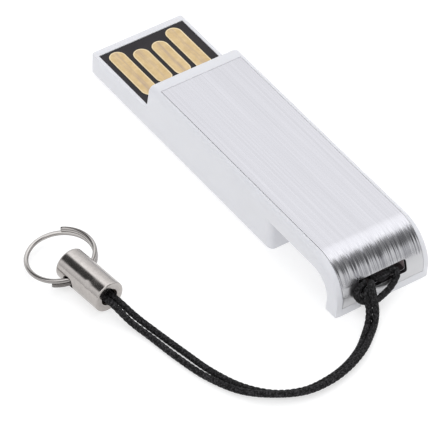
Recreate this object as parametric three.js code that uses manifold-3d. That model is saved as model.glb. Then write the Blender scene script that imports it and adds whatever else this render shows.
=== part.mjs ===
// USB flash drive with an arched tail, a contact module on an open tongue and a corded lanyard.
// Millimetres. +X points to the plug tip, +Z up, origin at the bottom centre of the drive itself.
import * as THREE from 'three';
import { mergeVertices } from 'three/addons/utils/BufferGeometryUtils.js';
import ManifoldModule from 'manifold-3d';

const wasm = await ManifoldModule();
wasm.setup();
const { Manifold, Mesh: SolidMesh } = wasm;

// ---- driving dimensions -------------------------------------------------
const PLUG_WIDTH = 12.0;
const HALF_LENGTH = 23.0;
const HALF_WIDTH = PLUG_WIDTH / 2;
const BODY_TOP = 6.2;
const BODY_FRONT = 12.25;
const BODY_REAR = -10.8;
const EDGE_RADIUS = 0.8;
const TONGUE_TOP = 2.95;
const TONGUE_EDGE_RADIUS = 0.6;
const TONGUE_NOSE_RADIUS = 1.1;
const MERGE_TOLERANCE = 0.006;

const ARCH_OUTER_CENTRE = [-18.55, 1.75];
const ARCH_OUTER_RADIUS = 4.45;
const ARCH_INNER_CENTRE = [-18.5, 1.45];
const ARCH_INNER_RADIUS = 2.45;
const TAIL_FOOT_OUTER = -22.9;
const TAIL_FOOT_INNER = -20.8;
const ARCH_STEPS = 14;

const SLOT_HALF_WIDTH = 3.05;
const SLOT_BOTTOM = 2.2;
const SLOT_TOP = 3.7;
const SLOT_CORNER = 0.25;
const NOTCH_Y = [1.0, 2.72];
const NOTCH_HEIGHT = 1.05;

const PLATE_HALF_WIDTH = 5.2;
const PLATE_FRONT = 10.65;
const PLATE_FOOT = 1.1;
const PLATE_THICKNESS = 0.4;
const PLATE_GAP = 0.06;
const FILM_THICKNESS = 0.05;
const FILM_INSET = 0.5;
const RECESS_DEPTH = PLATE_THICKNESS + FILM_THICKNESS + 0.02;

const BOARD_HALF_WIDTH = 5.52;
const BOARD_FRONT = 22.15;
const BOARD_REAR = -2.8;
const BOARD_TOP = 2.9;
const BOARD_THICKNESS = 0.28;
const MOULD_BOTTOM = 1.5;
const CLEARANCE = 0.03;
const PAD_WIDTH = 1.95;
const PAD_CENTRES = [-3.53, -1.02, 1.43, 3.93];
const PAD_THICKNESS = 0.04;
const PAD_REAR_OUTER = 13.8;
const PAD_REAR_INNER = 14.65;
const PAD_FRONT_OUTER = 21.8;
const PAD_FRONT_INNER = 20.8;

const CAVITY_X = [-9.3, 10.6];
const CAVITY_HALF_WIDTH = 5.55;
const CAVITY_FLOOR = 0.95;
const CAVITY_TOP = 5.2;
const LID_HALF_WIDTH = 5.25;
const LID_THICKNESS = 0.8;

const CORD_DIAMETER = 0.74;
const CORD_SIDES = 8;

const FERRULE_RADIUS = 1.82;
const FERRULE_LENGTH = 6.75;
const FERRULE_MOUTH = [-8.89, 24.99, 1.82];
const FERRULE_AXIS = [0.9954, 0.0958, 0];
const BORE_RADIUS = 1.0;
const BORE_DEPTH = 3.7;

const RING_WIRE = 0.5;
const RING_RADIUS = 3.665;
const RING_CENTRE = [-0.798, 25.723, 1.517];
const RING_NORMAL = [0.04856, 0.13786, 0.98926];
const RING_START = 0.732;
const RING_TURNS = 1.538;
const RING_PITCH = 0.571;
const RING_SIDES = 8;
const RING_STEPS = 54;
const CROSS_HOLE_RADIUS = 0.68;
const CROSS_HOLE_CENTRE = [-4.22, 25.42, 1.73];
const CROSS_HOLE_AXIS = [0.095, -0.98658, 0.13282];

// Centreline of the lanyard cord, from its inner end in the ferrule round the tail and back.
const CORD_ROUTE = [
  // straight out of the ferrule and along the resting surface
  [-5.6, 24.91, 1.82], [-7.9, 24.69, 1.82], [-9.9, 24.33, 1.55], [-12.0, 23.7, 0.82],
  [-14.6, 23.0, 0.42], [-18.6, 22.25, 0.39], [-22.6, 21.4, 0.39], [-26.1, 19.95, 0.39],
  [-28.6, 17.75, 0.39], [-29.85, 15.0, 0.39], [-29.9, 12.1, 0.39], [-29.35, 9.5, 0.39],
  [-28.2, 7.0, 0.39], [-26.75, 5.1, 0.42],
  // up over the crossbar of the hitch, down behind it and under the lip
  [-25.72, 3.92, 0.65], [-25.1, 3.38, 1.46], [-24.7, 3.25, 2.2], [-24.38, 3.18, 2.85],
  [-23.95, 2.98, 3.22], [-23.7, 2.68, 2.95], [-23.46, 2.5, 2.35], [-23.45, 2.32, 1.4],
  [-23.18, 2.25, 0.67], [-22.3, 2.23, 0.42], [-21.2, 2.23, 0.43], [-20.38, 2.22, 0.87],
  [-20.2, 2.2, 1.7], [-20.45, 2.2, 2.55], [-21.2, 2.33, 3.02], [-22.2, 2.35, 3.08],
  // left leg, crossbar and right leg of the hitch
  [-22.86, 2.53, 3.25], [-23.19, 3.27, 3.3], [-23.3, 3.75, 2.95], [-23.47, 3.72, 2.3],
  [-23.77, 3.2, 1.75], [-24.22, 2.4, 1.66], [-24.28, 1.65, 1.7], [-24.0, 0.85, 1.6],
  [-23.62, 0.02, 1.4], [-23.42, -0.7, 1.62], [-23.4, -1.15, 2.25], [-23.25, -1.5, 2.85],
  [-22.84, -1.6, 3.08], [-22.5, -1.2, 2.96], [-22.62, -0.55, 2.72], [-22.72, 0.1, 2.62],
  [-22.42, 0.6, 2.68], [-21.85, 1.05, 2.88],
  // down behind the tail, back under the lip and over the crossbar
  [-21.15, 1.35, 3.0], [-20.5, 1.4, 2.55], [-20.2, 1.42, 1.7], [-20.38, 1.44, 0.87],
  [-21.2, 1.46, 0.43], [-22.3, 1.46, 0.42], [-23.15, 1.48, 0.68], [-23.42, 1.55, 1.4],
  [-23.43, 1.72, 2.2], [-23.43, 1.9, 3.05], [-23.65, 2.15, 3.75], [-24.15, 2.62, 3.97],
  [-24.84, 2.88, 3.42], [-25.18, 2.78, 2.6], [-25.6, 2.88, 1.72], [-26.18, 3.38, 0.72],
  // outer strand back to the ferrule, leaning on the inner one round the bend
  [-27.31, 4.71, 0.64], [-28.85, 6.78, 0.88], [-30.0, 9.4, 0.85], [-30.6, 12.2, 0.83],
  [-30.5, 15.3, 0.92], [-29.15, 18.15, 0.92], [-26.6, 20.6, 0.58], [-22.9, 22.3, 0.4],
  [-18.9, 23.25, 0.39], [-14.9, 23.9, 0.42], [-12.25, 24.6, 0.82], [-10.0, 25.12, 1.55],
  [-7.98, 25.48, 1.82], [-5.67, 25.7, 1.82],
];

// ---- shared helpers -----------------------------------------------------
function vector(list) {
  return new THREE.Vector3(list[0], list[1], list[2]);
}

function toSolid(geometry) {
  const bare = new THREE.BufferGeometry();
  bare.setAttribute('position', geometry.getAttribute('position'));
  if (geometry.index) bare.setIndex(geometry.index);
  const welded = mergeVertices(bare, 1e-5);
  const mesh = new SolidMesh({
    numProp: 3,
    vertProperties: new Float32Array(welded.getAttribute('position').array),
    triVerts: new Uint32Array(welded.index.array),
  });
  mesh.merge();
  return new Manifold(mesh);
}

function toGeometry(solid) {
  const mesh = solid.getMesh();
  const geometry = new THREE.BufferGeometry();
  geometry.setAttribute('position', new THREE.BufferAttribute(new Float32Array(mesh.vertProperties), 3));
  geometry.setIndex(new THREE.BufferAttribute(new Uint32Array(mesh.triVerts), 1));
  geometry.computeVertexNormals();
  return geometry;
}

function box(x0, x1, y0, y1, z0, z1) {
  const geometry = new THREE.BoxGeometry(x1 - x0, y1 - y0, z1 - z0);
  geometry.translate((x0 + x1) / 2, (y0 + y1) / 2, (z0 + z1) / 2);
  return toSolid(geometry);
}

// Extrudes an outline given in (x, z) along Y between two limits, with rounded end edges.
function sideExtrusion(points, y0, y1, radius = 0) {
  const shape = new THREE.Shape(points.map((p) => new THREE.Vector2(p[0], p[1])));
  const geometry = new THREE.ExtrudeGeometry(shape, {
    depth: y1 - y0 - 2 * radius,
    bevelEnabled: radius > 0,
    bevelSize: radius,
    bevelThickness: radius,
    bevelOffset: -radius,
    bevelSegments: 4,
  });
  geometry.rotateX(Math.PI / 2);
  geometry.translate(0, y1 - radius, 0);
  return toSolid(geometry);
}

function arc(centre, radius, from, to, steps) {
  const points = [];
  for (let i = 0; i <= steps; i += 1) {
    const angle = from + ((to - from) * i) / steps;
    points.push([centre[0] + radius * Math.cos(angle), centre[1] + radius * Math.sin(angle)]);
  }
  return points;
}

// Outer face of the housing from the plate front to the tail foot, moved inwards by depth.
function faceLine(front, foot, depth) {
  const radius = ARCH_OUTER_RADIUS - depth;
  const lean = (HALF_LENGTH + TAIL_FOOT_OUTER) / ARCH_OUTER_CENTRE[1];
  const points = arc(ARCH_OUTER_CENTRE, radius, Math.PI / 2, Math.PI, ARCH_STEPS);
  const footX = -HALF_LENGTH + depth + lean * (ARCH_OUTER_CENTRE[1] - foot);
  return [[front, BODY_TOP - depth], ...points, [footX, foot]];
}

// Layer of even thickness that follows the top and bends down over the tail.
function bentLayer(front, foot, halfWidth, outerDepth, innerDepth) {
  const outer = faceLine(front, foot, outerDepth);
  const inner = faceLine(front, foot, innerDepth).reverse();
  return sideExtrusion([...outer, ...inner], -halfWidth, halfWidth);
}

// Rounded slot opening through the tail, as a cutting bar along X.
function slotBar(x0, x1, grow) {
  const shape = new THREE.Shape();
  const w = SLOT_HALF_WIDTH + grow;
  const low = SLOT_BOTTOM - grow;
  const high = SLOT_TOP + grow;
  const r = SLOT_CORNER;
  shape.moveTo(-w + r, low);
  shape.lineTo(w - r, low);
  shape.absarc(w - r, low + r, r, -Math.PI / 2, 0, false);
  shape.lineTo(w, high - r);
  shape.absarc(w - r, high - r, r, 0, Math.PI / 2, false);
  shape.lineTo(-w + r, high);
  shape.absarc(-w + r, high - r, r, Math.PI / 2, Math.PI, false);
  shape.lineTo(-w, low + r);
  shape.absarc(-w + r, low + r, r, Math.PI, 1.5 * Math.PI, false);
  const geometry = new THREE.ExtrudeGeometry(shape, { depth: x1 - x0, bevelEnabled: false, curveSegments: 3 });
  geometry.rotateX(Math.PI / 2);
  geometry.rotateZ(Math.PI / 2);
  geometry.translate(x0, 0, 0);
  return toSolid(geometry);
}

function turnedBar(profile, sides, position, direction) {
  const geometry = new THREE.LatheGeometry(profile.map((p) => new THREE.Vector2(p[0], p[1])), sides);
  const turn = new THREE.Quaternion().setFromUnitVectors(
    new THREE.Vector3(0, 1, 0), vector(direction).normalize(),
  );
  geometry.applyQuaternion(turn);
  geometry.translate(position[0], position[1], position[2]);
  return toSolid(geometry);
}

// Round bar along a curve, with its sections on the curve's own control points.
class StationPath extends THREE.CatmullRomCurve3 {
  getPointAt(u, target) {
    return this.getPoint(u, target);
  }

  getTangentAt(u, target) {
    return this.getTangent(u, target);
  }
}

function roundBar(points, diameter, sides, steps) {
  const path = new StationPath(points, false, 'centripetal');
  const section = new THREE.Shape();
  for (let i = 0; i < sides; i += 1) {
    const angle = ((i + 0.5) * 2 * Math.PI) / sides;
    const x = (diameter / 2) * Math.cos(angle);
    const y = (diameter / 2) * Math.sin(angle);
    if (i === 0) section.moveTo(x, y);
    else section.lineTo(x, y);
  }
  section.closePath();
  return new THREE.ExtrudeGeometry(section, { steps, extrudePath: path, bevelEnabled: false });
}

const part = new THREE.Group();
part.name = 'usb_flash_drive';

function addNode(name, shape, colour, metalness, roughness) {
  const geometry = shape.isBufferGeometry ? shape : toGeometry(shape);
  const material = new THREE.MeshStandardMaterial({ color: colour, metalness, roughness });
  material.name = `${name}_material`;
  const mesh = new THREE.Mesh(geometry, material);
  mesh.name = name;
  part.add(mesh);
}

// ---- one-piece housing: tongue frame, body and arched tail ---------------
const housingOutline = [
  ...faceLine(BODY_FRONT, 0, 0),
  [TAIL_FOOT_INNER, 0],
  ...arc(ARCH_INNER_CENTRE, ARCH_INNER_RADIUS, Math.PI, Math.PI / 2, 10),
  [BODY_REAR, ARCH_INNER_CENTRE[1] + ARCH_INNER_RADIUS],
  [BODY_REAR, 0],
  [BODY_FRONT, 0],
].reverse();
let housing = sideExtrusion(housingOutline, -HALF_WIDTH, HALF_WIDTH, EDGE_RADIUS);

// Tongue: square top edges, rounded lower edges and a rounded lower nose.
const tongueSide = [
  [BODY_FRONT - 3, TONGUE_TOP],
  [BODY_FRONT - 3, 0],
  ...arc([HALF_LENGTH - TONGUE_NOSE_RADIUS, TONGUE_NOSE_RADIUS], TONGUE_NOSE_RADIUS, -Math.PI / 2, 0, 6),
  [HALF_LENGTH, TONGUE_TOP],
];
const tongueRound = sideExtrusion(
  tongueSide.map((p) => [p[0], p[1] > 2 ? 9 : p[1]]), -HALF_WIDTH, HALF_WIDTH, TONGUE_EDGE_RADIUS,
);
const tongueFlat = box(BODY_FRONT - 1.2, HALF_LENGTH, -HALF_WIDTH, HALF_WIDTH, 0, TONGUE_TOP);
housing = housing.add(tongueRound.intersect(tongueFlat));

// Module bed in the tongue, the hollow body behind it and the opening for the lid.
const bedTop = TONGUE_TOP + CLEARANCE;
housing = housing.subtract(box(
  CAVITY_X[1] - 1, BOARD_FRONT + CLEARANCE, -BOARD_HALF_WIDTH - CLEARANCE, BOARD_HALF_WIDTH + CLEARANCE,
  MOULD_BOTTOM - CLEARANCE, bedTop,
));
housing = housing.subtract(box(
  CAVITY_X[0], CAVITY_X[1], -CAVITY_HALF_WIDTH, CAVITY_HALF_WIDTH, CAVITY_FLOOR, CAVITY_TOP,
));
housing = housing.subtract(box(
  CAVITY_X[0] + 0.4, CAVITY_X[1] - 0.4, -LID_HALF_WIDTH, LID_HALF_WIDTH, -1, CAVITY_FLOOR + 0.1,
));

// Recess of the face plate, the lanyard slot and the cord notch under the lip.
housing = housing.subtract(bentLayer(
  PLATE_FRONT + PLATE_GAP, PLATE_FOOT - PLATE_GAP, PLATE_HALF_WIDTH + PLATE_GAP, -1, RECESS_DEPTH,
));
housing = housing.subtract(slotBar(-HALF_LENGTH - 1, BODY_REAR - 3, 0));
const notch = box(-HALF_LENGTH - 1, BODY_REAR - 3, NOTCH_Y[0], NOTCH_Y[1], -1, NOTCH_HEIGHT);
housing = housing.subtract(notch);
addNode('body_shell', housing.simplify(MERGE_TOLERANCE), 0xe9ebee, 0, 0.32);

const lid = box(
  CAVITY_X[0] + 0.4 + CLEARANCE, CAVITY_X[1] - 0.4 - CLEARANCE,
  -LID_HALF_WIDTH + CLEARANCE, LID_HALF_WIDTH - CLEARANCE, 0, LID_THICKNESS,
);
addNode('base_lid', lid, 0xe4e6ea, 0, 0.4);

// ---- brushed face plate and its adhesive film ----------------------------
const plate = bentLayer(PLATE_FRONT, PLATE_FOOT, PLATE_HALF_WIDTH, 0, PLATE_THICKNESS)
  .subtract(slotBar(-HALF_LENGTH - 1, BODY_REAR - 3, 0));
addNode('face_plate', plate, 0xc4c5cc, 0.9, 0.35);

const film = bentLayer(
  PLATE_FRONT - FILM_INSET, PLATE_FOOT + 0.3, PLATE_HALF_WIDTH - FILM_INSET,
  PLATE_THICKNESS + 0.01, PLATE_THICKNESS + 0.01 + FILM_THICKNESS,
).subtract(slotBar(-HALF_LENGTH - 1, BODY_REAR - 3, 0.3));
addNode('plate_adhesive', film, 0xd8d4b8, 0, 0.7);

// ---- contact module -------------------------------------------------------
const boardBottom = BOARD_TOP - BOARD_THICKNESS;
addNode('cob_substrate', box(
  BOARD_REAR, BOARD_FRONT, -BOARD_HALF_WIDTH, BOARD_HALF_WIDTH, boardBottom, BOARD_TOP,
), 0x17171a, 0.1, 0.4);

function contactPad(y, rear, front) {
  const shape = new THREE.Shape();
  const r = PAD_WIDTH / 2;
  shape.absarc(front - r, 0, r, -Math.PI / 2, Math.PI / 2, false);
  shape.absarc(rear + r, 0, r, Math.PI / 2, 1.5 * Math.PI, false);
  const geometry = new THREE.ExtrudeGeometry(shape, {
    depth: PAD_THICKNESS, bevelEnabled: false, curveSegments: 8,
  });
  geometry.translate(0, y, BOARD_TOP + 0.005);
  return toSolid(geometry);
}
const padRows = [
  ['contact_vbus', PAD_CENTRES[0], PAD_REAR_OUTER, PAD_FRONT_OUTER],
  ['contact_data_minus', PAD_CENTRES[1], PAD_REAR_INNER, PAD_FRONT_INNER],
  ['contact_data_plus', PAD_CENTRES[2], PAD_REAR_INNER, PAD_FRONT_INNER],
  ['contact_ground', PAD_CENTRES[3], PAD_REAR_OUTER, PAD_FRONT_OUTER],
];
padRows.forEach((row) => addNode(row[0], contactPad(row[1], row[2], row[3]), 0xd6b878, 1, 0.3));

// Parts under the substrate: [name, x0, x1, y half or [y0, y1], height below the substrate, colour].
const memberRows = [
  ['die_attach_flash_lower', 3.0, 15.0, -4.3, 4.3, 0.02, 0.05, 0x8a7a50],
  ['flash_die_lower', 3.0, 15.0, -4.3, 4.3, 0.08, 0.28, 0x4b4f58],
  ['die_attach_flash_upper', 3.0, 14.2, -4.3, 4.3, 0.31, 0.34, 0x8a7a50],
  ['flash_die_upper', 3.0, 14.2, -4.3, 4.3, 0.37, 0.57, 0x50545e],
  ['die_attach_controller', 16.6, 19.4, -1.4, 1.4, 0.02, 0.05, 0x8a7a50],
  ['controller_die', 16.6, 19.4, -1.4, 1.4, 0.08, 0.33, 0x3c4048],
  ['capacitor_input', -1.6, -0.6, -4.2, -3.7, 0.02, 0.52, 0xb49a78],
  ['capacitor_core', -1.6, -0.6, -3.0, -2.5, 0.02, 0.52, 0xb49a78],
  ['capacitor_flash', -1.6, -0.6, -1.8, -1.3, 0.02, 0.52, 0xb49a78],
  ['capacitor_bulk', -1.8, -0.2, -0.6, 0.2, 0.02, 0.77, 0xb49a78],
  ['resistor_data_minus', -1.6, -0.6, 0.9, 1.4, 0.02, 0.37, 0x1d1d20],
  ['resistor_data_plus', -1.6, -0.6, 2.0, 2.5, 0.02, 0.37, 0x1d1d20],
  ['oscillator', -1.8, 0.2, 3.0, 4.6, 0.02, 0.72, 0xa8a8ac],
];
let mould = box(BOARD_REAR, BOARD_FRONT, -BOARD_HALF_WIDTH, BOARD_HALF_WIDTH, MOULD_BOTTOM, boardBottom - 0.01);
memberRows.forEach((row) => {
  const [name, x0, x1, y0, y1, top, bottom, colour] = row;
  const gap = 0.02;
  mould = mould.subtract(box(
    x0 - gap, x1 + gap, y0 - gap, y1 + gap, boardBottom - bottom - gap, boardBottom + 1,
  ));
  addNode(name, box(x0, x1, y0, y1, boardBottom - bottom, boardBottom - top), colour, 0.2, 0.5);
});
addNode('epoxy_mould', mould, 0x141416, 0, 0.55);

// ---- lanyard: cord, ferrule and split ring --------------------------------
addNode('lanyard_cord', roundBar(
  CORD_ROUTE.map(vector), CORD_DIAMETER, CORD_SIDES, CORD_ROUTE.length - 1,
), 0x1a1a1c, 0, 0.85);

const ferruleProfile = [
  [0, BORE_DEPTH],
  [BORE_RADIUS, BORE_DEPTH],
  [BORE_RADIUS, 0.06],
  [BORE_RADIUS + 0.06, 0],
  [FERRULE_RADIUS - 0.08, 0],
  [FERRULE_RADIUS, 0.08],
  [FERRULE_RADIUS, FERRULE_LENGTH - 0.25],
  [FERRULE_RADIUS - 0.08, FERRULE_LENGTH - 0.08],
  [FERRULE_RADIUS - 0.25, FERRULE_LENGTH],
  [0, FERRULE_LENGTH],
];
const holeReach = 3;
const holeStart = vector(CROSS_HOLE_CENTRE)
  .addScaledVector(vector(CROSS_HOLE_AXIS).normalize(), -holeReach)
  .toArray();
const holeProfile = [[0, 0], [CROSS_HOLE_RADIUS, 0], [CROSS_HOLE_RADIUS, 2 * holeReach], [0, 2 * holeReach]];
const ferrule = turnedBar(ferruleProfile, 40, FERRULE_MOUTH, FERRULE_AXIS)
  .subtract(turnedBar(holeProfile, 24, holeStart, CROSS_HOLE_AXIS));
addNode('ferrule', ferrule, 0xb9b4b0, 1, 0.3);

// Split ring: a little over one and a half turns of round wire, threaded through the cross hole.
const ringNormal = vector(RING_NORMAL).normalize();
const ringAcross = new THREE.Vector3().crossVectors(ringNormal, new THREE.Vector3(1, 0, 0)).normalize();
const ringAlong = new THREE.Vector3().crossVectors(ringNormal, ringAcross);
const ringPoints = [];
for (let i = 0; i <= RING_STEPS; i += 1) {
  const share = i / RING_STEPS;
  const angle = RING_START + share * RING_TURNS * 2 * Math.PI;
  ringPoints.push(vector(RING_CENTRE)
    .addScaledVector(ringAcross, RING_RADIUS * Math.cos(angle))
    .addScaledVector(ringAlong, RING_RADIUS * Math.sin(angle))
    .addScaledVector(ringNormal, (share - 0.5) * RING_TURNS * RING_PITCH));
}
addNode('split_ring', roundBar(ringPoints, RING_WIRE, RING_SIDES, RING_STEPS), 0xb4b4b8, 1, 0.2);

export default part;
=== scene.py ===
# USB flash drive with an arched tail and a corded lanyard, dressed for rendering.
# Shapes are drawn in millimetres in the CAD frame and scaled to metres when they are finished.
import math

import bmesh
import bpy
import numpy as np
from mathutils import Matrix, Vector


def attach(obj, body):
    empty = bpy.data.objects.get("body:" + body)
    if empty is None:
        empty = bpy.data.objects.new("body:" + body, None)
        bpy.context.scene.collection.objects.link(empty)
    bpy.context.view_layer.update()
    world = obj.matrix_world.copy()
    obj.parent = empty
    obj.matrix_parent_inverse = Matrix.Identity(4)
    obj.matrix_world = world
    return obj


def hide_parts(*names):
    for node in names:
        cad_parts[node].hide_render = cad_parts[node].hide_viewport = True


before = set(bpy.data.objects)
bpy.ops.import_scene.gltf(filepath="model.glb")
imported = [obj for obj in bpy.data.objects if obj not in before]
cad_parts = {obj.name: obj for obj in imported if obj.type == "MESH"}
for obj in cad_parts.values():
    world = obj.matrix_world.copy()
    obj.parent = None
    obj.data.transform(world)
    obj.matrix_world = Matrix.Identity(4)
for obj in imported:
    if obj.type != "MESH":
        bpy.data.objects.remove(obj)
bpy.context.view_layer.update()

MM = 0.001

# ---- main sizes in millimetres: the CAD part's, apart from a few small gaps ------
# Tuples hold, in order:
#   ARCH_OUTER, ARCH_INNER: centre x, centre z, radius
#   SLOT: half width, bottom, top, corner radius
#   NOTCH: y from, y to, top
#   CAVITY: rear, front, half width, floor, ceiling
#   LID: rear, front, half width, thickness
#   PAD_ROWS: name, y, rear, front
HALF_LENGTH = 23.0
HALF_WIDTH = 6.0
BODY_TOP = 6.2
BODY_FRONT = 12.25
BODY_REAR = -10.8
TONGUE_TOP = 2.95
NOSE_RADIUS = 1.1
ARCH_OUTER = (-18.55, 1.75, 4.45)
ARCH_INNER = (-18.5, 1.45, 2.45)
FOOT_OUTER = -22.9
FOOT_INNER = -20.8
SHELL_ROUNDING = 0.85
SHELL_CORNER = 0.4
TONGUE_START = BODY_FRONT - 1.2
TONGUE_CORNER = 0.35
TONGUE_EDGE_LOW, TONGUE_EDGE_HIGH = 0.6, 0.12
SLOT = (3.05, 2.2, 3.7, 0.25)
SLOT_INNER_END = BODY_REAR - 3.0
NOTCH = (1.0, 2.72, 1.05)
PLATE_HALF = 5.2
PLATE_FRONT = 10.65
PLATE_FOOT = 1.1
PLATE_THICK = 0.4
PLATE_GAP = 0.045
RECESS_DEPTH = 0.47
BOARD_HALF = 5.52
BOARD_FRONT = 22.15
BOARD_REAR = -2.8
BOARD_TOP = 2.9
BOARD_THICK = 0.28
BED_FLOOR = 1.47
BED_GAP = 0.03
CAVITY = (-9.3, 10.6, 5.55, 0.95, 5.2)
LID = (-8.87, 10.17, 5.22, 0.8)
LID_GAP = 0.03
LID_MARK_RADIUS = 0.75
LID_MARK_DEPTH = 0.05
LID_MARK_INSET = 2.2
LID_MARK_Y = 3.4
PAD_ROWS = (
    ("contact_vbus", -3.53, 13.8, 21.8), ("contact_data_minus", -1.02, 14.65, 20.8),
    ("contact_data_plus", 1.43, 14.65, 20.8), ("contact_ground", 3.93, 13.8, 21.8),
)
PAD_HALF = 0.975
PAD_LIFT = 0.005
# How far in from the edge, and how high, the section of a contact's rim runs.
PAD_RIM = ((0.0, 0.0), (0.0, 0.035), (0.02, 0.045), (0.09, 0.045), (0.13, 0.035))
CORD_DIAMETER = 0.74
CORD_STEP = 0.055
CORD_END_RISE = 0.08
BRAID_LAY = 1.25
FERRULE_MOUTH = Vector((-8.89, 24.99, 1.82))
FERRULE_AXIS = Vector((0.9954, 0.0958, 0.0)).normalized()
FERRULE_RADIUS = 1.82
FERRULE_LENGTH = 6.75
FERRULE_SOFTNESS = 0.035
HOLE_CENTRE = Vector((-4.22, 25.42, 1.73))
HOLE_AXIS = Vector((0.095, -0.98658, 0.13282)).normalized()
# Wider than in the CAD part, so that the rounder wire clears the rim as it swings.
HOLE_RADIUS = 0.76
DIMPLE_PLACE = 1.95
DIMPLE_LEAN = 46.0
DIMPLE_RADIUS = 0.6
DIMPLE_DEPTH = 0.035
RING_CENTRE = Vector((-0.798, 25.723, 1.517))
RING_NORMAL = Vector((0.04856, 0.13786, 0.98926)).normalized()
RING_RADIUS = 3.665
RING_WIRE = 0.52
RING_START = 0.732
RING_TURNS = 1.538
RING_PITCH = 0.571
# Rounding of edges that are otherwise sharp.
EDGE_SOFTNESS = 0.04
# How far a cutter reaches past the surface it opens.
CLEAR = 1.0

# Centreline of the cord: the same points as in the CAD part.
ROUTE = (
    (-5.6, 24.91, 1.82), (-7.9, 24.69, 1.82), (-9.9, 24.33, 1.55), (-12.0, 23.7, 0.82),
    (-14.6, 23.0, 0.42), (-18.6, 22.25, 0.39), (-22.6, 21.4, 0.39), (-26.1, 19.95, 0.39),
    (-28.6, 17.75, 0.39), (-29.85, 15.0, 0.39), (-29.9, 12.1, 0.39), (-29.35, 9.5, 0.39),
    (-28.2, 7.0, 0.39), (-26.75, 5.1, 0.42),
    (-25.72, 3.92, 0.65), (-25.1, 3.38, 1.46), (-24.7, 3.25, 2.2), (-24.38, 3.18, 2.85),
    (-23.95, 2.98, 3.22), (-23.7, 2.68, 2.95), (-23.46, 2.5, 2.35), (-23.45, 2.32, 1.4),
    (-23.18, 2.25, 0.67), (-22.3, 2.23, 0.42), (-21.2, 2.23, 0.43), (-20.38, 2.22, 0.87),
    (-20.2, 2.2, 1.7), (-20.45, 2.2, 2.55), (-21.2, 2.33, 3.02), (-22.2, 2.35, 3.08),
    (-22.86, 2.53, 3.25), (-23.19, 3.27, 3.3), (-23.3, 3.75, 2.95), (-23.47, 3.72, 2.3),
    (-23.77, 3.2, 1.75), (-24.22, 2.4, 1.66), (-24.28, 1.65, 1.7), (-24.0, 0.85, 1.6),
    (-23.62, 0.02, 1.4), (-23.42, -0.7, 1.62), (-23.4, -1.15, 2.25), (-23.25, -1.5, 2.85),
    (-22.84, -1.6, 3.08), (-22.5, -1.2, 2.96), (-22.62, -0.55, 2.72), (-22.72, 0.1, 2.62),
    (-22.42, 0.6, 2.68), (-21.85, 1.05, 2.88),
    (-21.15, 1.35, 3.0), (-20.5, 1.4, 2.55), (-20.2, 1.42, 1.7), (-20.38, 1.44, 0.87),
    (-21.2, 1.46, 0.43), (-22.3, 1.46, 0.42), (-23.15, 1.48, 0.68), (-23.42, 1.55, 1.4),
    (-23.43, 1.72, 2.2), (-23.43, 1.9, 3.05), (-23.65, 2.15, 3.75), (-24.15, 2.62, 3.97),
    (-24.84, 2.88, 3.42), (-25.18, 2.78, 2.6), (-25.6, 2.88, 1.72), (-26.18, 3.38, 0.72),
    (-27.31, 4.71, 0.64), (-28.85, 6.78, 0.88), (-30.0, 9.4, 0.85), (-30.6, 12.2, 0.83),
    (-30.5, 15.3, 0.92), (-29.15, 18.15, 0.92), (-26.6, 20.6, 0.58), (-22.9, 22.3, 0.4),
    (-18.9, 23.25, 0.39), (-14.9, 23.9, 0.42), (-12.25, 24.6, 0.82), (-10.0, 25.12, 1.55),
    (-7.98, 25.48, 1.82), (-5.67, 25.7, 1.82),
)


# ---- camera ---------------------------------------------------------------
CAMERA_PLACE = Vector((-283.870, 215.123, 328.958))
CAMERA_VIEW = Vector((0.58298, -0.43363, -0.68709))
CAMERA_UP = Vector((0.57637, -0.37532, 0.72590))
CAMERA_SENSOR = 36.0
CAMERA_LENS = 361.6


def make_camera():
    data = bpy.data.cameras.new("camera")
    data.sensor_width = CAMERA_SENSOR
    data.lens = CAMERA_LENS
    data.clip_start = 0.01
    data.clip_end = 10.0
    cam = bpy.data.objects.new("camera", data)
    bpy.context.collection.objects.link(cam)
    view = CAMERA_VIEW.normalized()
    right = view.cross(CAMERA_UP).normalized()
    up = right.cross(view)
    turn = Matrix((right, up, -view)).transposed().to_4x4()
    cam.matrix_world = Matrix.Translation(CAMERA_PLACE * MM) @ turn
    bpy.context.scene.camera = cam


make_camera()


# ---- material helpers -----------------------------------------------------
TOOL_MARK_DEPTH = 0.002


def new_material(name):
    mat = bpy.data.materials.new(name)
    mat.use_nodes = True
    tree = mat.node_tree
    shader = tree.nodes["Principled BSDF"]
    return mat, tree, shader


def node(tree, kind, inputs=None, **settings):
    made = tree.nodes.new(kind)
    for key, value in settings.items():
        setattr(made, key, value)
    for key, value in (inputs or {}).items():
        if isinstance(value, bpy.types.NodeSocket):
            tree.links.new(value, made.inputs[key])
        else:
            made.inputs[key].default_value = value
    return made


def object_place(tree):
    return node(tree, "ShaderNodeTexCoord").outputs["Object"]


def stretched_noise(tree, stretch, detail=3.0, rough=0.6):
    """Noise in object space, with its own fineness along each axis, per metre."""
    place = node(tree, "ShaderNodeMapping", {"Vector": object_place(tree), "Scale": stretch})
    return node(tree, "ShaderNodeTexNoise", {
        "Vector": place.outputs["Vector"], "Scale": 1.0, "Detail": detail, "Roughness": rough,
    }).outputs["Fac"]


def even_noise(tree, fineness, detail=3.0, rough=0.6):
    return stretched_noise(tree, (fineness, fineness, fineness), detail, rough)


def arithmetic(tree, operation, a, b):
    return node(tree, "ShaderNodeMath", {0: a, 1: b}, operation=operation).outputs[0]


def vector_math(tree, operation, a, b):
    """A two-vector operation whose result is a vector."""
    return node(tree, "ShaderNodeVectorMath", {0: a, 1: b}, operation=operation).outputs["Vector"]


def blend(tree, share, under, over):
    """Mixes two colours; share 0 gives under."""
    mix = node(tree, "ShaderNodeMix", {"Factor": share, 6: under, 7: over}, data_type="RGBA")
    return mix.outputs[2]


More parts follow.
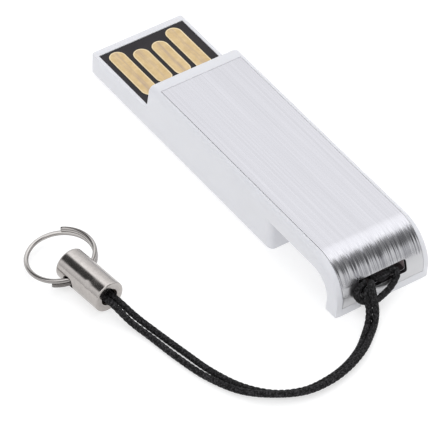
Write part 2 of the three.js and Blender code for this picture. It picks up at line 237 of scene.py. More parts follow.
def remap(tree, value, low, high, out_low, out_high):
    return node(tree, "ShaderNodeMapRange", {
        "Value": value, "From Min": low, "From Max": high, "To Min": out_low, "To Max": out_high,
    }).outputs["Result"]


def ramp(tree, value, *stops):
    made = node(tree, "ShaderNodeValToRGB", {"Fac": value})
    elements = made.color_ramp.elements
    while len(elements) < len(stops):
        elements.new(0.5)
    for element, (place, colour) in zip(elements, stops):
        element.position = place
        element.color = (*colour, 1.0)
    return made.outputs["Color"]


def bump(tree, height, strength, distance, normal=None):
    inputs = {"Height": height, "Strength": strength, "Distance": distance}
    if normal is not None:
        inputs["Normal"] = normal
    return node(tree, "ShaderNodeBump", inputs).outputs["Normal"]


def plastic(name, dark, light, roughness, grain=0.004):
    """Moulded plastic: slight clouding, uneven gloss, faint flow marks and a very fine grain."""
    mat, tree, shader = new_material(name)
    cloud = stretched_noise(tree, (90, 160, 160), 4.0)
    colour = ramp(tree, cloud, (0.3, dark), (0.7, light))
    tree.links.new(colour, shader.inputs["Base Color"])
    smear = stretched_noise(tree, (240, 700, 700), 5.0)
    gloss = remap(tree, smear, 0.3, 0.7, roughness - 0.06, roughness + 0.08)
    tree.links.new(gloss, shader.inputs["Roughness"])
    fine = even_noise(tree, 9000)
    tree.links.new(bump(tree, fine, 0.25, grain * MM), shader.inputs["Normal"])
    shader.inputs["Subsurface Weight"].default_value = 0.12
    shader.inputs["Subsurface Radius"].default_value = (0.0012, 0.0011, 0.001)
    shader.inputs["Subsurface Scale"].default_value = 1.0
    shader.inputs["IOR"].default_value = 1.47
    return mat


def metal(name, dark, light, roughness, stretch, spread=0.08):
    """Metal with directional tool marks: stretch sets how fine the marks are along each axis."""
    mat, tree, shader = new_material(name)
    marks = stretched_noise(tree, stretch, 4.0, 0.7)
    colour = ramp(tree, marks, (0.3, dark), (0.72, light))
    tree.links.new(colour, shader.inputs["Base Color"])
    shader.inputs["Metallic"].default_value = 1.0
    patch = even_noise(tree, 500)
    gloss = remap(tree, patch, 0.3, 0.7, roughness - spread, roughness + spread)
    tree.links.new(gloss, shader.inputs["Roughness"])
    tree.links.new(bump(tree, marks, 0.5, TOOL_MARK_DEPTH * MM), shader.inputs["Normal"])
    return mat


BEND_FROM, BEND_TO = -19.5, -21.0
LIP_TOP, LIP_FADE = 3.2, 4.1
FLAT_LEAN, BEND_LEAN = 0.025, 0.095


def brushed_plate_material():
    """Aluminium brushed lengthwise. Each line tips the normal a little along the brushing
    direction. The lines open up where the sheet is stretched round the bend, and are
    scuffed dull on the lip below the slot. In the bend the colour also carries strong light
    and dark streaks, which are painted reflection; the lip's lighter colour is a painted
    brighter reflection of the pale floor."""
    mat, tree, shader = new_material("brushed_plate")
    links = tree.links
    lines = stretched_noise(tree, (45, 12000, 45), 3.0, 0.65)
    bands = stretched_noise(tree, (30, 6000, 30), 2.0, 0.5)
    hairs = stretched_noise(tree, (28, 3600, 28), 5.0, 0.7)
    place = node(tree, "ShaderNodeSeparateXYZ", {"Vector": object_place(tree)})
    tail = remap(tree, place.outputs["X"], BEND_FROM * MM, BEND_TO * MM, 0.0, 1.0)
    above_lip = remap(tree, place.outputs["Z"], LIP_TOP * MM, LIP_FADE * MM, 0.0, 1.0)
    bend = arithmetic(tree, "MULTIPLY", tail, above_lip)
    lip = arithmetic(tree, "SUBTRACT", tail, bend)

    flat_tone = ramp(tree, hairs, (0.38, (0.494, 0.491, 0.518)), (0.62, (0.530, 0.527, 0.556)))
    # Strong light and dark streaks in the bend's colour: painted reflection streaks over the
    # brushing.
    bend_brush_and_reflection_streaks = ramp(tree, bands, (0.38, (0.36, 0.36, 0.385)), (0.62, (0.68, 0.68, 0.70)))
    tone = blend(tree, bend, flat_tone, bend_brush_and_reflection_streaks)
    # The lip's lighter colour is a painted brighter reflection of the pale floor.
    links.new(blend(tree, lip, tone, (0.56, 0.56, 0.572, 1.0)), shader.inputs["Base Color"])
    shader.inputs["Metallic"].default_value = 1.0
    polish = remap(tree, bands, 0.3, 0.7, 0.17, 0.25)
    scuffed = remap(tree, lip, 0.0, 1.0, 0.0, 0.16)
    links.new(arithmetic(tree, "ADD", polish, scuffed), shader.inputs["Roughness"])

    normal = node(tree, "ShaderNodeNewGeometry").outputs["Normal"]
    along = vector_math(tree, "CROSS_PRODUCT", normal, (0.0, 1.0, 0.0))
    line = remap(tree, arithmetic(tree, "ADD", lines, bands), 0.75, 1.25, -1.0, 1.0)
    reach = remap(tree, bend, 0.0, 1.0, FLAT_LEAN, BEND_LEAN)
    lean = arithmetic(tree, "MULTIPLY", line, reach)
    push = node(tree, "ShaderNodeVectorMath", {0: along, "Scale": lean}, operation="SCALE")
    tipped = vector_math(tree, "ADD", normal, push.outputs["Vector"])
    unit = node(tree, "ShaderNodeVectorMath", {0: tipped}, operation="NORMALIZE").outputs["Vector"]
    links.new(bump(tree, lines, 0.2, 0.001 * MM, unit), shader.inputs["Normal"])
    return mat


def drawn_wire_and_reflection_material():
    """Bright steel wire with draw marks that follow it round the ring; the darkest lines along the
    wire are painted dark reflections.
    """
    mat, tree, shader = new_material("bright_steel_painted_reflections")
    links = tree.links
    from_centre = vector_math(tree, "SUBTRACT", object_place(tree), tuple(RING_CENTRE * MM))
    height = node(tree, "ShaderNodeVectorMath", {0: from_centre, 1: tuple(RING_NORMAL)},
                  operation="DOT_PRODUCT").outputs["Value"]
    reach = node(tree, "ShaderNodeVectorMath", {0: from_centre}, operation="LENGTH").outputs["Value"]
    lay = node(tree, "ShaderNodeCombineXYZ", {"X": reach, "Y": height}).outputs["Vector"]
    marks = node(tree, "ShaderNodeTexNoise", {
        "Vector": lay, "Scale": 6500.0, "Detail": 2.0, "Roughness": 0.5,
    }).outputs["Fac"]
    # Dark and light lines along the wire: partly draw marks, partly painted dark reflections.
    links.new(ramp(tree, marks, (0.40, (0.13, 0.12, 0.115)), (0.56, (0.48, 0.46, 0.445))),
              shader.inputs["Base Color"])
    shader.inputs["Metallic"].default_value = 1.0
    links.new(remap(tree, marks, 0.35, 0.6, 0.22, 0.09), shader.inputs["Roughness"])
    links.new(bump(tree, marks, 0.5, 0.004 * MM), shader.inputs["Normal"])
    return mat


PAD_PITCH = 2.49
PAD_OFFSET = 0.2


def gold_material():
    """Worn gold plate: warm tan, with a greyish track along the middle where a port's springs rub."""
    mat, tree, shader = new_material("gold_contact")
    links = tree.links
    scuff = stretched_noise(tree, (260, 4200, 420), 5.0, 0.75)
    mottle = even_noise(tree, 1500, 4.0)
    gold = ramp(tree, mottle, (0.3, (0.50, 0.365, 0.185)), (0.7, (0.60, 0.455, 0.255)))
    place = node(tree, "ShaderNodeSeparateXYZ", {"Vector": object_place(tree)})
    pitch = PAD_PITCH * MM
    row = arithmetic(tree, "SUBTRACT", place.outputs["Y"], PAD_OFFSET * MM)
    from_middle = arithmetic(tree, "PINGPONG", row, pitch / 2)
    track = remap(tree, from_middle, pitch * 0.28, pitch * 0.44, -0.16, 0.10)
    rubbed = remap(tree, arithmetic(tree, "ADD", scuff, track), 0.46, 0.72, 0.0, 0.85)
    worn = blend(tree, rubbed, gold, (0.40, 0.305, 0.235, 1.0))
    links.new(worn, shader.inputs["Base Color"])
    shader.inputs["Metallic"].default_value = 0.85
    links.new(remap(tree, scuff, 0.3, 0.75, 0.3, 0.5), shader.inputs["Roughness"])
    links.new(bump(tree, scuff, 0.3, 0.004 * MM), shader.inputs["Normal"])
    return mat


def cord_material():
    """Black braided polyester: fine fibres along the strands, and small lighter specks in the base
    colour that are painted glints.
    """
    mat, tree, shader = new_material("braided_cord")
    links = tree.links
    fibre = even_noise(tree, 16000, 4.0, 0.7)
    patch = even_noise(tree, 2600)
    painted_glint = even_noise(tree, 5200, 2.0)
    # Lighter specks in the base colour: painted glints.
    base = ramp(tree, painted_glint, (0.46, (0.002, 0.002, 0.0022)), (0.72, (0.055, 0.053, 0.057)))
    links.new(base, shader.inputs["Base Color"])
    links.new(remap(tree, patch, 0.35, 0.65, 0.45, 0.8), shader.inputs["Roughness"])
    links.new(bump(tree, fibre, 0.6, 0.03 * MM), shader.inputs["Normal"])
    shader.inputs["Specular IOR Level"].default_value = 0.15
    return mat


def board_material():
    """Near-black solder resist with a warm cast and a very fine laminate weave under it."""
    mat, tree, shader = new_material("solder_resist")
    links = tree.links
    tint = even_noise(tree, 600)
    links.new(ramp(tree, tint, (0.3, (0.010, 0.008, 0.011)), (0.7, (0.019, 0.015, 0.018))),
              shader.inputs["Base Color"])
    weave = even_noise(tree, 5000, 2.0)
    links.new(remap(tree, weave, 0.3, 0.7, 0.38, 0.5), shader.inputs["Roughness"])
    links.new(bump(tree, weave, 0.3, 0.006 * MM), shader.inputs["Normal"])
    shader.inputs["Specular IOR Level"].default_value = 0.22
    return mat


# ---- mesh helpers (millimetres until finish_piece) --------------------------
def mesh_object(name, bm):
    mesh = bpy.data.meshes.new(name)
    bmesh.ops.recalc_face_normals(bm, faces=bm.faces)
    bm.to_mesh(mesh)
    bm.free()
    obj = bpy.data.objects.new(name, mesh)
    bpy.context.collection.objects.link(obj)
    return obj


def apply_modifiers(obj):
    bpy.context.view_layer.update()
    graph = bpy.context.evaluated_depsgraph_get()
    made = bpy.data.meshes.new_from_object(obj.evaluated_get(graph))
    obj.modifiers.clear()
    obj.data = made


def combine(target, cutter, operation="DIFFERENCE"):
    mod = target.modifiers.new("cut", "BOOLEAN")
    mod.object = cutter
    mod.operation = operation
    mod.solver = "EXACT"
    apply_modifiers(target)
    bpy.data.objects.remove(cutter)


def soften(obj, width, angle=32.0):
    """A small even rounding on every edge that is still sharp."""
    mod = obj.modifiers.new("soften", "BEVEL")
    mod.width = width
    mod.segments = 2
    mod.limit_method = "ANGLE"
    mod.angle_limit = math.radians(angle)
    mod.use_clamp_overlap = True
    mod.miter_outer = "MITER_ARC"
    apply_modifiers(obj)


def finish_piece(obj, material, body="drive", smooth=40.0):
    """Smooths faces up to an angle, scales to metres, paints the piece and makes it ride."""
    obj.data.transform(Matrix.Scale(MM, 4))
    for polygon in obj.data.polygons:
        polygon.use_smooth = True
    bm = bmesh.new()
    bm.from_mesh(obj.data)
    bmesh.ops.dissolve_degenerate(bm, dist=1e-8, edges=bm.edges)
    for edge in bm.edges:
        if len(edge.link_faces) == 2:
            edge.smooth = edge.calc_face_angle(0.0) < math.radians(smooth)
    bm.to_mesh(obj.data)
    bm.free()
    mod = obj.modifiers.new("even", "WEIGHTED_NORMAL")
    mod.keep_sharp = True
    mod.weight = 80
    apply_modifiers(obj)
    obj.data.materials.clear()
    obj.data.materials.append(material)
    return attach(obj, body)


def stand_in(obj, node_name):
    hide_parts(node_name)
    return obj


def paint_slot_shade(obj, material, end_wall_shade_material):
    """Gives the faces that line the lanyard slot, and its two end walls, darker materials of their
    own: painted shade inside the slot.
    """
    half, low, high, _ = SLOT
    slack = 0.03
    deepest = FOOT_INNER + 0.6
    obj.data.materials.append(material)
    obj.data.materials.append(end_wall_shade_material)
    for polygon in obj.data.polygons:
        x, y, z = polygon.center / MM
        inside = abs(y) < half + slack and low - slack < z < high + slack
        if x < deepest and inside and abs(polygon.normal.x) < 0.8:
            polygon.material_index = 2 if abs(polygon.normal.y) > 0.9 else 1


def arc(centre_x, centre_z, radius, start, end, steps):
    angles = [start + (end - start) * i / steps for i in range(steps + 1)]
    return [(centre_x + radius * math.cos(a), centre_z + radius * math.sin(a)) for a in angles]


def loft(name, rows):
    """Closed skin over rows of matching points, with a flat face at each end."""
    bm = bmesh.new()
    loops = [[bm.verts.new(point) for point in row] for row in rows]
    count = len(rows[0])
    bm.faces.new(loops[0])
    bm.faces.new(loops[-1][::-1])
    for a, b in zip(loops, loops[1:]):
        for i in range(count):
            j = (i + 1) % count
            bm.faces.new((a[i], b[i], b[j], a[j]))
    return mesh_object(name, bm)


def prism(name, outline, y0, y1):
    """Extrudes an (x, z) outline along Y."""
    return loft(name, [[(x, y, z) for x, z in outline] for y in (y0, y1)])


def block(name, x0, x1, y0, y1, z0, z1):
    return prism(name, [(x0, z0), (x1, z0), (x1, z1), (x0, z1)], y0, y1)


def cross_bar(name, section, x0, x1):
    """Extrudes a (y, z) section along X."""
    return loft(name, [[(x, y, z) for y, z in section] for x in (x0, x1)])


GENTLE_TURN = 0.75


def inset_outline(outline, depths):
    """Moves every outline edge inwards by its own depth. The outline runs clockwise in (x, z).
    At a gentle turn the two depths are averaged, so that points never slide along the edge."""
    count = len(outline)
    normals = []
    for i in range(count):
        dx = outline[(i + 1) % count][0] - outline[i][0]
        dz = outline[(i + 1) % count][1] - outline[i][1]
        size = math.hypot(dx, dz)
        normals.append((dz / size, -dx / size))
    moved = []
    for i, (x, z) in enumerate(outline):
        (ax, az), (bx, bz) = normals[i - 1], normals[i]
        da, db = depths[i - 1], depths[i]
        match = ax * bx + az * bz
        if match > GENTLE_TURN:
            share = (da + db) / 2 / (1 + match)
            moved.append((x + (ax + bx) * share, z + (az + bz) * share))
        else:
            det = ax * bz - az * bx
            moved.append((x + (da * bz - db * az) / det, z + (ax * db - bx * da) / det))
    return moved


def rounded_prism(name, outline, weights, half, radius, corner, steps=7):
    """Extrusion along Y whose end edges are rounded; a weight scales the rounding on each edge.
    The outline's last point is a square corner, filleted with a radius that shrinks to the ends."""
    least = 0.12
    rows = []
    for i in range(steps + 1):
        a = math.pi / 2 * i / steps
        inset = inset_outline(outline, [w * radius * (1 - math.sin(a)) for w in weights])
        x, z = inset.pop()
        fillet = corner * (least + (1 - least) * math.sin(a))
        inset += arc(x - fillet, z - fillet, fillet, math.pi / 2, 0.0, 6)
        rows.append([(x, -half + radius * (1 - math.cos(a)), z) for x, z in inset])
    rows += [[(x, -y, z) for x, y, z in row] for row in rows[::-1]]
    return loft(name, rows)


def face_line(front, foot, depth, steps=40):
    """The housing's outer face from the front to the tail's foot, moved inwards by depth."""
    cx, cz, radius = ARCH_OUTER
    lean = (HALF_LENGTH + FOOT_OUTER) / cz
    points = arc(cx, cz, radius - depth, math.pi / 2, math.pi, steps)
    return [(front, BODY_TOP - depth), *points, (-HALF_LENGTH + depth + lean * (cz - foot), foot)]


def bent_layer(name, front, foot, half, outer, inner):
    outline = face_line(front, foot, outer) + face_line(front, foot, inner)[::-1]
    return prism(name, outline, -half, half)


def rounded_section(half, low, high, low_radius, high_radius, steps=6):
    """A (y, z) rectangle with its own corner radius below and above."""
    corners = ((half, low, low_radius, -90), (half, high, high_radius, 0),
               (-half, high, high_radius, 90), (-half, low, low_radius, 180))
    section = []
    for cy, cz, radius, start in corners:
        sy = cy - math.copysign(radius, cy)
        sz = cz + (radius if cz == low else -radius)
        for i in range(steps + 1):
            a = math.radians(start + 90 * i / steps)
            section.append((sy + radius * math.cos(a), sz + radius * math.sin(a)))
    return section


def slot_bar():
    """Cutter for the lanyard slot, from behind the tail into the room under the arch."""
    half, low, high, corner = SLOT
    section = rounded_section(half, low, high, corner, corner, 4)
    return cross_bar("slot_bar", section, -HALF_LENGTH - CLEAR, SLOT_INNER_END)


def along_axis(obj, start, direction):
    """Moves a mesh built up +Z so that it runs from start along direction."""
    turn = Vector((0, 0, 1)).rotation_difference(direction).to_matrix().to_4x4()
    obj.data.transform(Matrix.Translation(start) @ turn)


def lathe(name, profile, sides):
    """Turns (radius, height) points about Z. Points on the axis become single poles."""
    bm = bmesh.new()
    angles = [2 * math.pi * i / sides for i in range(sides)]
    rings = []
    for radius, height in profile:
        if radius < 1e-6:
            rings.append([bm.verts.new((0, 0, height))])
        else:
            rings.append([bm.verts.new((radius * math.cos(a), radius * math.sin(a), height))
                          for a in angles])
    for a, b in zip(rings, rings[1:]):
        for i in range(sides):
            j = (i + 1) % sides
            corners = [a[i % len(a)], a[j % len(a)], b[j % len(b)], b[i % len(b)]]
            unique = list(dict.fromkeys(corners))
            if len(unique) > 2:
                bm.faces.new(unique)
    return mesh_object(name, bm)


def swept_tube(name, points, radii, sides, end_rise=0.0):
    """Round tube along points; radii[i][k] is the radius of side k at point i. Each end closes
    to a pole that stands end_rise beyond it."""
    path = np.asarray(points, float)
    tangents = np.gradient(path, axis=0)
    tangents /= np.linalg.norm(tangents, axis=1)[:, None]
    angles = np.arange(sides) * 2 * math.pi / sides
    side = np.cross(tangents[0], (0.0, 0.0, 1.0))
    side /= np.linalg.norm(side)
    bm = bmesh.new()
    rings = []
    for point, tangent, reach in zip(path, tangents, radii):
        side = side - tangent * side.dot(tangent)
        side /= np.linalg.norm(side)
        up = np.cross(tangent, side)
        spokes = np.cos(angles)[:, None] * side + np.sin(angles)[:, None] * up
        rings.append([bm.verts.new(v) for v in point + reach[:, None] * spokes])
    for a, b in zip(rings, rings[1:]):
        for k in range(sides):
            j = (k + 1) % sides
            bm.faces.new((a[k], a[j], b[j], b[k]))
    for end, way in ((0, -1), (-1, 1)):
        ring = rings[end]
        pole = bm.verts.new(path[end] + tangents[end] * way * end_rise)
        for k in range(sides):
            bm.faces.new((ring[k], ring[(k + 1) % sides], pole))
    return mesh_object(name, bm)


def route_curve(points, per_span):
    """Centripetal Catmull-Rom line through the points, with per_span steps between two of them."""
    p = [np.array(q, float) for q in points]
    p = [2 * p[0] - p[1], *p, 2 * p[-1] - p[-2]]
    out = []
    for a, b, c, d in zip(p, p[1:], p[2:], p[3:]):
        t0, t1, t2 = (max(np.linalg.norm(v) ** 0.5, 1e-4) for v in (b - a, c - b, d - c))
        m1 = ((b - a) / t0 - (c - a) / (t0 + t1) + (c - b) / t1) * t1
        m2 = ((c - b) / t1 - (d - b) / (t1 + t2) + (d - c) / t2) * t1
        square = -3 * b + 3 * c - 2 * m1 - m2
        cube = 2 * b - 2 * c + m1 + m2
        for i in range(per_span):
            t = i / per_span
            out.append(b + m1 * t + square * t * t + cube * t ** 3)
    out.append(p[-2])
    return np.array(out)


def even_steps(line, step):
    """The line at even spacing close to step, and its length."""
    gaps = np.linalg.norm(np.diff(line, axis=0), axis=1)
    reach = np.concatenate([[0.0], np.cumsum(gaps)])
    stations = np.linspace(0.0, reach[-1], int(reach[-1] / step) + 1)
    return np.stack([np.interp(stations, reach, line[:, k]) for k in range(3)], 1), reach[-1]


# ---- cord, first because its space is checked first -------------------------
def make_cord():
    """Round braid: strands that wind both ways and take turns to lie on top."""
    sides, strands = 20, 4
    core, relief, crossing = 0.90, 0.11, 0.25
    line, length = even_steps(route_curve(ROUTE, 24), CORD_STEP)
    turn = 2 * math.pi / BRAID_LAY * 2 * np.linspace(0.0, length, len(line))[:, None]
    angle = strands * (np.arange(sides) * 2 * math.pi / sides)[None, :]
    over = crossing * np.sign(np.cos(angle) * np.cos(turn))
    ridge = np.maximum(np.cos(angle + turn) + over, np.cos(angle - turn) - over)
    radii = CORD_DIAMETER / 2 * (core + relief * np.minimum(ridge, 1.0))
    cord = swept_tube("lanyard_braid", line, radii, sides, CORD_END_RISE)
    finish_piece(cord, cord_material(), smooth=80.0)
    stand_in(cord, "lanyard_cord")
    return cord, [Vector(p) * MM for p in line[::4]], length


cord, cord_path, cord_length = make_cord()


# ---- housing ----------------------------------------------------------------
def make_shell():
    """Body and arched tail in one side outline, with rounded long edges. The rounding fades out
    down the tail and on the front step, which the tongue grows out of."""
    back = face_line(BODY_FRONT, 0.0, 0.0)
    spans = len(back) - 3
    faded, ease = 0.8, 1.2
    fade = [1.0 - faded * min(1.0, max(0, i - 1) / spans) ** ease for i in range(len(back) - 1)]
    inner = arc(*ARCH_INNER, math.pi, math.pi / 2, 24)
    ceiling = ARCH_INNER[1] + ARCH_INNER[2]
    front = [(BODY_FRONT, z) for z in (0.0, 3.0, 3.7, 4.4, 5.1)]
    outline = [*back, (FOOT_INNER, 0.0), *inner, (BODY_REAR, ceiling), (BODY_REAR, 0.0), *front]
    weights = [*fade, 0.0, 0.4, *[0.4] * len(inner), 1.15, 0.7, 0.0, 0.08, 0.2, 0.35, 0.5]
    return rounded_prism("housing", outline[::-1], weights[-2::-1] + weights[-1:],
                         HALF_WIDTH, SHELL_ROUNDING, SHELL_CORNER)


def make_tongue():
    """Flat tongue: rounded nose in side view, small corners in plan, rounded edges below."""
    nose = arc(HALF_LENGTH - NOSE_RADIUS, NOSE_RADIUS, NOSE_RADIUS, -math.pi / 2, 0, 12)
    side_view = [(TONGUE_START, TONGUE_TOP), (TONGUE_START, 0.0), *nose, (HALF_LENGTH, TONGUE_TOP)]
    tongue = prism("tongue", side_view, -HALF_WIDTH - 3 * CLEAR, HALF_WIDTH + 3 * CLEAR)
    section = rounded_section(HALF_WIDTH, 0.0, TONGUE_TOP, TONGUE_EDGE_LOW, TONGUE_EDGE_HIGH)
    width = cross_bar("width", section, TONGUE_START - CLEAR, HALF_LENGTH + CLEAR)
    combine(tongue, width, "INTERSECT")
    rear, shoulder, wide = TONGUE_START - 2 * CLEAR, HALF_LENGTH - 1.5, HALF_WIDTH + CLEAR
    turns = [math.radians(15 * i) for i in range(7)]
    corner = [(HALF_LENGTH - TONGUE_CORNER + TONGUE_CORNER * math.sin(a),
               -HALF_WIDTH + TONGUE_CORNER - TONGUE_CORNER * math.cos(a)) for a in turns]
    plan = [(rear, wide), (rear, -wide), (shoulder, -wide), (shoulder, -HALF_WIDTH), *corner,
            *[(x, -y) for x, y in corner[::-1]], (shoulder, HALF_WIDTH), (shoulder, wide)]
    plan_bar = loft("plan", [[(x, y, z) for x, y in plan] for z in (-1.0, 9.0)])
    combine(tongue, plan_bar, "INTERSECT")
    return tongue


def make_housing():
    """Shell and tongue in one, opened for the plate, slot, board, module and lid."""
    shell = make_shell()
    combine(shell, make_tongue(), "UNION")
    rear, front, half, floor, ceiling = CAVITY
    lid_rear, lid_front, lid_half, _ = LID
    bed_half = BOARD_HALF + BED_GAP
    lid_half += LID_GAP
    cuts = (
        bent_layer("recess", PLATE_FRONT + PLATE_GAP, PLATE_FOOT - PLATE_GAP,
                   PLATE_HALF + PLATE_GAP, -CLEAR, RECESS_DEPTH),
        slot_bar(),
        block("notch", -HALF_LENGTH - CLEAR, SLOT_INNER_END, NOTCH[0], NOTCH[1], -CLEAR, NOTCH[2]),
        block("bed", front - CLEAR, BOARD_FRONT + BED_GAP, -bed_half, bed_half, BED_FLOOR,
              TONGUE_TOP + BED_GAP),
        block("cavity", rear, front, -half, half, floor, ceiling),
        block("lid_opening", lid_rear - LID_GAP, lid_front + LID_GAP, -lid_half, lid_half, -CLEAR,
              floor + 0.1),
    )
    for cutter in cuts:
        combine(shell, cutter)
    soften(shell, EDGE_SOFTNESS)
    white = plastic("white_moulding", (0.672, 0.675, 0.707), (0.70, 0.704, 0.735), 0.34)
    # The slot's lining is near black and its end walls a darker grey-pink: painted shade inside the
    # slot.
    slot_shade = plastic("slot_lining_painted_shade", (0.035, 0.027, 0.028), (0.055, 0.042, 0.044), 0.45)
    end_wall_shade = plastic("slot_end_wall_painted_shade", (0.30, 0.235, 0.24), (0.38, 0.30, 0.31), 0.4)
    stand_in(finish_piece(shell, white), "body_shell")
    paint_slot_shade(shell, slot_shade, end_wall_shade)


def make_lid():
    """Underside lid with rounded edges and four round ejector marks."""
    rear, front, half, thick = LID
    lid = block("underside_lid", rear, front, -half, half, 0.0, thick)
    sink = [(0, -CLEAR), (LID_MARK_RADIUS, -CLEAR), (LID_MARK_RADIUS, LID_MARK_DEPTH),
            (0, LID_MARK_DEPTH)]
    for x in (rear + LID_MARK_INSET, front - LID_MARK_INSET):
        for y in (-LID_MARK_Y, LID_MARK_Y):
            mark = lathe("mark", sink, 32)
            mark.data.transform(Matrix.Translation((x, y, 0)))
            combine(lid, mark)
    soften(lid, 0.05)
    moulding = plastic("lid_moulding", (0.63, 0.633, 0.663), (0.66, 0.663, 0.692), 0.42, 0.006)
    stand_in(finish_piece(lid, moulding), "base_lid")


# ---- face plate --------------------------------------------------------------
def make_plate():
    plate = bent_layer("bent_face_plate", PLATE_FRONT, PLATE_FOOT, PLATE_HALF, 0.0, PLATE_THICK)
    combine(plate, slot_bar())
    soften(plate, EDGE_SOFTNESS)
    stand_in(finish_piece(plate, brushed_plate_material()), "face_plate")
    # The sheet's cut edges inside the slot are near black: painted shade.
    cut_edge_shade = metal("slot_cut_edge_painted_shade", (0.05, 0.045, 0.05), (0.10, 0.09, 0.095), 0.35,
                     (400, 5000, 5000))
    paint_slot_shade(plate, cut_edge_shade, cut_edge_shade)


make_housing()
make_lid()
make_plate()


# ---- contact module ------------------------------------------------------------
def make_board():
    board = block("contact_board", BOARD_REAR, BOARD_FRONT, -BOARD_HALF, BOARD_HALF,
                  BOARD_TOP - BOARD_THICK, BOARD_TOP)
    soften(board, EDGE_SOFTNESS)
    stand_in(finish_piece(board, board_material()), "cob_substrate")


def make_pad(name, y, rear, front, material, rim_highlight):
    """Rounded contact with a low raised rim, standing just proud of the board. The rim's top faces
    take a brighter gold, which is a painted highlight.
    """
    foot = BOARD_TOP + PAD_LIFT
    steps = 16
    ends = ((front - PAD_HALF, -90), (rear + PAD_HALF, 90))
    rows = []
    for inset, height in PAD_RIM:
        r = PAD_HALF - inset
        row = []
        for centre, start in ends:
            for i in range(steps + 1):
                a = math.radians(start + 180 * i / steps)
                row.append((centre + r * math.cos(a), y + r * math.sin(a), foot + height))
        rows.append(row)
    pad = stand_in(finish_piece(loft(name + "_pad", rows), material, smooth=30.0), name)
    pad.data.materials.append(rim_highlight)
    # The rim's small top faces take the brighter gold: painted highlight.
    largest_rim_face = max(polygon.area for polygon in pad.data.polygons) * 0.5
    for polygon in pad.data.polygons:
        if polygon.area < largest_rim_face and polygon.normal.z > 0.5:
            polygon.material_index = 1


make_board()
gold = gold_material()
# Brighter gold for the contacts' rims: a painted highlight on the rim bevel.
gold_rim_highlight = metal("gold_rim_highlight", (0.60, 0.49, 0.30), (0.74, 0.62, 0.42), 0.36, (900, 900, 900))
for pad_row in PAD_ROWS:
    make_pad(*pad_row, gold, gold_rim_highlight)


# ---- ferrule and split ring ------------------------------------------------------
def ferrule_profile():
    """(radius, height) points from the bottom of the bore, out over the mouth, to the far end."""
    r, length = FERRULE_RADIUS, FERRULE_LENGTH
    front, back = 0.16, 0.28
    bore = [(0, 3.7), (0.9, 3.7), (1.0, 3.6), (1.0, 0.06), (1.02, 0.02), (1.06, 0.0)]
    mouth = [(r - front + front * math.sin(a), front - front * math.cos(a))
             for a in (math.radians(18 * i) for i in range(1, 6))]
    barrel = [(r, front + (length - front - back) * i / 60) for i in range(1, 60)]
    shoulder = [(r - back + back * math.cos(a), length - back + back * math.sin(a))
                for a in (math.radians(15 * i) for i in range(0, 7))]
    return [*bore, (r - front, 0.0), *mouth, *barrel, *shoulder, (0, length)]


def press_dimple(ferrule):
    """Crimp mark on the barrel, leaning from the top towards the side."""
    side = Vector((-FERRULE_AXIS.y, FERRULE_AXIS.x, 0.0))
    lean = math.radians(DIMPLE_LEAN)
    out = side * math.sin(lean) + Vector((0, 0, 1)) * math.cos(lean)
    centre = FERRULE_MOUTH + FERRULE_AXIS * DIMPLE_PLACE + out * FERRULE_RADIUS
    for vertex in ferrule.data.vertices:
        share = 1.0 - ((vertex.co - centre).length / DIMPLE_RADIUS) ** 2
        if share > 0.0:
            vertex.co -= out * DIMPLE_DEPTH * share * share


def make_ferrule():
    """Turned nickel sleeve: straight bore, rounded shoulders, cross hole and one crimp dimple."""
    ferrule = lathe("turned_ferrule", ferrule_profile(), 128)
    along_axis(ferrule, FERRULE_MOUTH, FERRULE_AXIS)
    press_dimple(ferrule)
    reach = 3.0
    drill = lathe("drill", [(0, 0), (HOLE_RADIUS, 0), (HOLE_RADIUS, 2 * reach), (0, 2 * reach)], 48)
    along_axis(drill, HOLE_CENTRE - reach * HOLE_AXIS, HOLE_AXIS)
    combine(ferrule, drill)
    soften(ferrule, FERRULE_SOFTNESS, 38.0)
    nickel = metal("warm_nickel", (0.40, 0.375, 0.36), (0.48, 0.452, 0.432), 0.2,
                   (2200, 2200, 2200), 0.06)
    stand_in(finish_piece(ferrule, nickel), "ferrule")


def make_ring():
    """One and a half turns of wire, climbing along the ring's axis, with slightly rounded ends."""
    steps, sides = 420, 20
    across = RING_NORMAL.cross(Vector((1, 0, 0))).normalized()
    along = RING_NORMAL.cross(across)
    line = []
    for i in range(steps + 1):
        share = i / steps
        a = RING_START + share * RING_TURNS * 2 * math.pi
        rise = RING_NORMAL * (share - 0.5) * RING_TURNS * RING_PITCH
        line.append(RING_CENTRE + across * RING_RADIUS * math.cos(a)
                    + along * RING_RADIUS * math.sin(a) + rise)
    radii = np.full((steps + 1, sides), RING_WIRE / 2)
    for i, keep in enumerate((0.82, 0.93, 0.985)):
        radii[i] *= keep
        radii[-1 - i] *= keep
    ring = swept_tube("wire_ring", line, radii, sides)
    stand_in(finish_piece(ring, drawn_wire_and_reflection_material(), "ring", 60.0), "split_ring")


make_ferrule()
make_ring()


# ---- hidden pieces keep their CAD shape and get their own finishes ----------------
def paint(material, *names):
    for name in names:
        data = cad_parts[name].data
        data.materials.clear()
        data.materials.append(material)


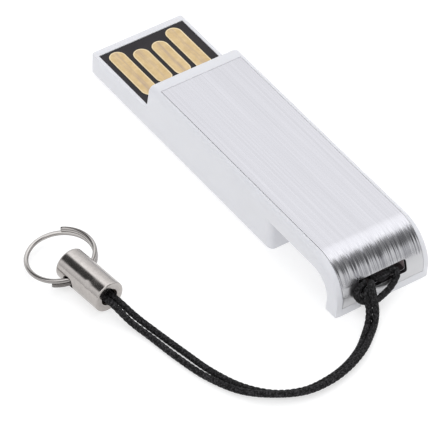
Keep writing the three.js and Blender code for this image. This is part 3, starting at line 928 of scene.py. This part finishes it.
paint(metal("silicon", (0.16, 0.17, 0.20), (0.24, 0.25, 0.29), 0.2, (700, 700, 700)),
      "controller_die", "flash_die_lower", "flash_die_upper")
paint(plastic("attach_film", (0.22, 0.18, 0.10), (0.30, 0.25, 0.15), 0.55, 0.008),
      "die_attach_controller", "die_attach_flash_lower", "die_attach_flash_upper")
paint(plastic("clear_adhesive", (0.62, 0.60, 0.48), (0.72, 0.70, 0.58), 0.6, 0.01),
      "plate_adhesive")
paint(plastic("moulding_compound", (0.02, 0.02, 0.022), (0.04, 0.04, 0.042), 0.6, 0.02),
      "epoxy_mould")
paint(plastic("fired_ceramic", (0.42, 0.32, 0.21), (0.52, 0.41, 0.28), 0.5, 0.01),
      "capacitor_input", "capacitor_core", "capacitor_flash", "capacitor_bulk")
paint(plastic("coated_ceramic", (0.02, 0.02, 0.022), (0.035, 0.035, 0.04), 0.4, 0.01),
      "resistor_data_minus", "resistor_data_plus")
paint(metal("plain_can", (0.50, 0.50, 0.52), (0.62, 0.62, 0.64), 0.3, (2500, 200, 200)),
      "oscillator")


# ---- floor and light ---------------------------------------------------------------
FLOOR_HALF = 1500.0
FLOOR_DROP = 0.01
FLOOR_GLOW = 0.58
SKY_COLOUR = (0.985, 0.99, 1.0, 1.0)
SKY_STRENGTH = 1.86
# (height, brightness) from the horizon to straight overhead
SKY_TONES = (
    (0.0, 0.42), (0.10, 0.44), (0.24, 0.56), (0.54, 0.65), (0.72, 0.82), (0.80, 0.95), (1.0, 0.98),
)
# Dark panels: direction, cosine at the edge, cosine at the core, change of brightness there
SKY_PANELS = (
    ((-0.474, -0.434, 0.768), 0.918, 0.98, -0.85),
    ((-0.94, 0.0, 0.34), 0.35, 0.9, -0.28),
    ((0.583, 0.378, 0.72), 0.89, 0.958, -0.96),
)


def make_floor():
    """Plain pale floor just below the object, glowing a little so that shadows stay faint."""
    bm = bmesh.new()
    bmesh.ops.create_grid(bm, x_segments=4, y_segments=4, size=FLOOR_HALF)
    floor = mesh_object("floor", bm)
    floor.data.transform(Matrix.Translation((0, 0, -FLOOR_DROP)))
    floor.data.transform(Matrix.Scale(MM, 4))
    mat, tree, shader = new_material("pale_floor")
    cloud = even_noise(tree, 6, 2.0)
    tree.links.new(ramp(tree, cloud, (0.3, (0.49, 0.49, 0.49)), (0.7, (0.51, 0.51, 0.51))),
                   shader.inputs["Base Color"])
    shader.inputs["Roughness"].default_value = 0.9
    shader.inputs["Specular IOR Level"].default_value = 0.1
    shader.inputs["Emission Color"].default_value = (1.0, 1.0, 1.0, 1.0)
    shader.inputs["Emission Strength"].default_value = FLOOR_GLOW
    floor.data.materials.append(mat)


def make_world():
    """Soft white surround, brightest overhead and dimmer towards the horizon, with dark panels
    that the metal mirrors."""
    world = bpy.data.worlds.new("studio")
    bpy.context.scene.world = world
    world.use_nodes = True
    tree = world.node_tree
    way = node(tree, "ShaderNodeTexCoord").outputs["Generated"]
    height = node(tree, "ShaderNodeSeparateXYZ", {"Vector": way}).outputs["Z"]
    level = ramp(tree, height, *[(place, (tone, tone, tone)) for place, tone in SKY_TONES])
    for centre, edge, core, gain in SKY_PANELS:
        aim = Vector(centre).normalized()
        dot = node(tree, "ShaderNodeVectorMath", {0: way, 1: tuple(aim)},
                   operation="DOT_PRODUCT").outputs["Value"]
        keep = node(tree, "ShaderNodeMapRange", {
            "Value": dot, "From Min": edge, "From Max": core, "To Min": 1.0, "To Max": 1.0 + gain,
        }, interpolation_type="SMOOTHSTEP").outputs["Result"]
        level = arithmetic(tree, "MULTIPLY", keep, level)
    background = tree.nodes["Background"]
    background.inputs["Color"].default_value = SKY_COLOUR
    tree.links.new(arithmetic(tree, "MULTIPLY", level, SKY_STRENGTH), background.inputs["Strength"])


make_floor()
make_world()
bpy.context.scene.view_settings.view_transform = "Standard"
